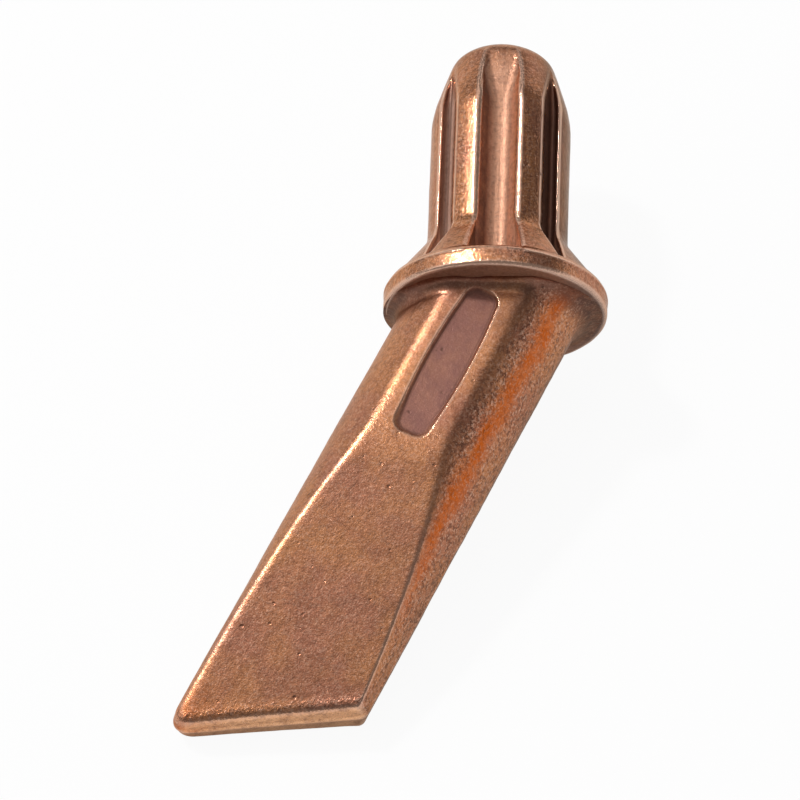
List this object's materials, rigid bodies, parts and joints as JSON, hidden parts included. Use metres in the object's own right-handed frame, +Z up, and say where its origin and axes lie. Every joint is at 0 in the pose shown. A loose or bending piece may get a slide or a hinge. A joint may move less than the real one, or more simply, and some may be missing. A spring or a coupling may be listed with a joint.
{
  "type": "soldering copper",
  "caption": "Forged copper bit for a soldering iron: a ribbed shank with a domed nose, a round collar and an inclined hatchet blade with a narrow working face.",
  "frame": {"origin": "middle of the bounding box, on the table that the bit lies on", "axes": "+Z up, out of the bit's front face; +Y towards the nose of the shank, the long way of the bit; the blade leans towards -X"},
  "size_m": [0.0588, 0.1079, 0.0322],
  "materials": {
    "shank_copper": "bare forged copper, smooth and satin, with a warm brown tarnish",
    "blade_copper": "bare forged copper, finely grained and matt, with a warm brown tarnish"
  },
  "bodies": {
    "root": {"nose_cap": "shank_copper", "shank_core": "shank_copper", "front_left_rib": "shank_copper", "front_right_rib": "shank_copper", "back_left_rib": "shank_copper", "back_right_rib": "shank_copper", "left_rib": "shank_copper", "right_rib": "shank_copper", "front_left_foot": "shank_copper", "front_right_foot": "shank_copper", "back_left_foot": "shank_copper", "back_right_foot": "shank_copper", "left_foot": "shank_copper", "right_foot": "shank_copper", "collar": "shank_copper", "body": "blade_copper", "blade": "blade_copper", "working_end": "blade_copper"}
  },
  "joints": []
}
